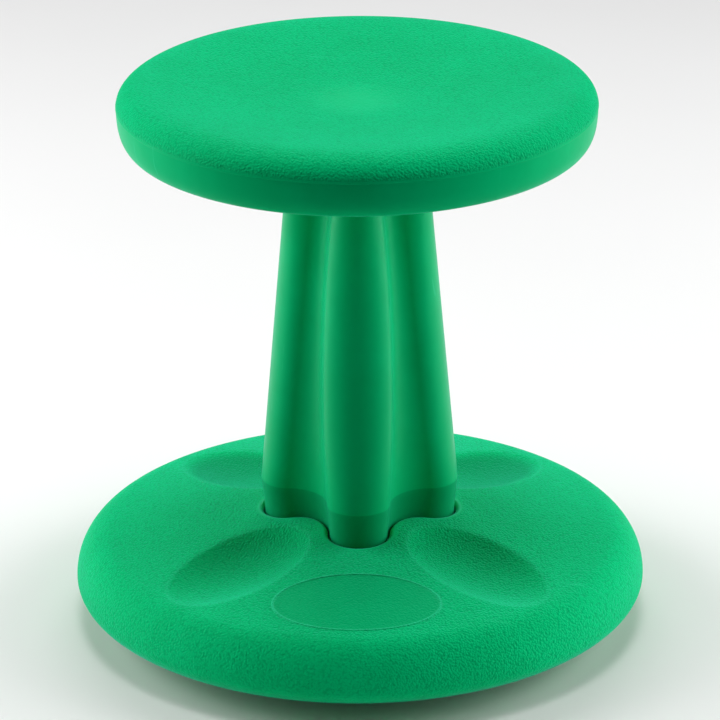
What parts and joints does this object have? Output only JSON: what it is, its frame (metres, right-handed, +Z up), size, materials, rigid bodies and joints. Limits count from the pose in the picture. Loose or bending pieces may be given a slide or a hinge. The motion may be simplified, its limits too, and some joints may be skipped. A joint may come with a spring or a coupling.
{
  "type": "wobble stool",
  "caption": "Backless child's stool: a round dished seat on a lobed, fluted column in a wide round base whose shallow domed underside rocks on the floor and rights itself.",
  "frame": {"origin": "centre of the flat landing on the underside of the base, on the floor", "axes": "+Z up along the stool's axis; -Y is the front, the side of the blank oval outline on the base; a column lobe points along each of +X, -X, +Y and -Y"},
  "size_m": [0.3636, 0.3636, 0.3556],
  "materials": {
    "seat_plastic": "saturated green, fine leather grain on top, smooth below the parting line",
    "column_plastic": "saturated green, smooth with a soft sheen",
    "base_plastic": "saturated green, fine leather grain on top, smooth rim",
    "insert_brass": "turned and grooved",
    "washer_steel": "zinc plated",
    "screw_steel": "zinc plated"
  },
  "bodies": {
    "root": {"seat_shell": "seat_plastic", "seat_inserts": "insert_brass", "column": "column_plastic", "seat_washers": "washer_steel", "seat_screws": "screw_steel", "base_shell": "base_plastic", "column_inserts": "insert_brass", "base_washers": "washer_steel", "base_screws": "screw_steel"}
  },
  "joints": []
}
